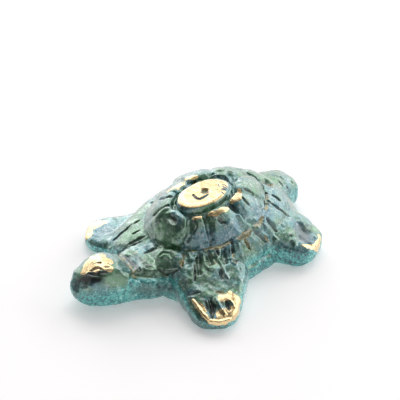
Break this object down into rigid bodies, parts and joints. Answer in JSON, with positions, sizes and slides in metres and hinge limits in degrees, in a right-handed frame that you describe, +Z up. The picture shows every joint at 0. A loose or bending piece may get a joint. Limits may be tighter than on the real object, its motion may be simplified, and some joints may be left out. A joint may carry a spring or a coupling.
{
  "type": "turtle figurine",
  "caption": "Small cast bronze turtle ornament with a ribbed, scuted shell, spread legs and a turned head, blue-green patina with polished high spots, standing on a flat underside.",
  "frame": {"origin": "on the ground under the middle of the figure's bounding box", "axes": "+Z up, +Y from head to tail, +X towards the turtle's left side"},
  "size_m": [0.0555, 0.078, 0.0206],
  "materials": {
    "patina": "dark green-blue patinated bronze under a glossy lacquer, rubbed bare on the high spots",
    "verdigris": "speckled turquoise verdigris over bronze, satin",
    "polished": "bare polished bronze with small casting pits"
  },
  "bodies": {
    "root": {"plastron": "verdigris", "head": "patina", "front_left_leg": "patina", "front_right_leg": "patina", "hind_left_leg": "patina", "hind_right_leg": "patina", "tail": "patina", "carapace": "patina", "nuchal_scute": "patina", "front_scute": "patina", "left_scute_1": "patina", "left_scute_2": "patina", "left_scute_3": "patina", "left_scute_4": "patina", "right_scute_4": "patina", "right_scute_3": "patina", "right_scute_2": "patina", "right_scute_1": "patina", "crown": "polished"}
  },
  "joints": []
}
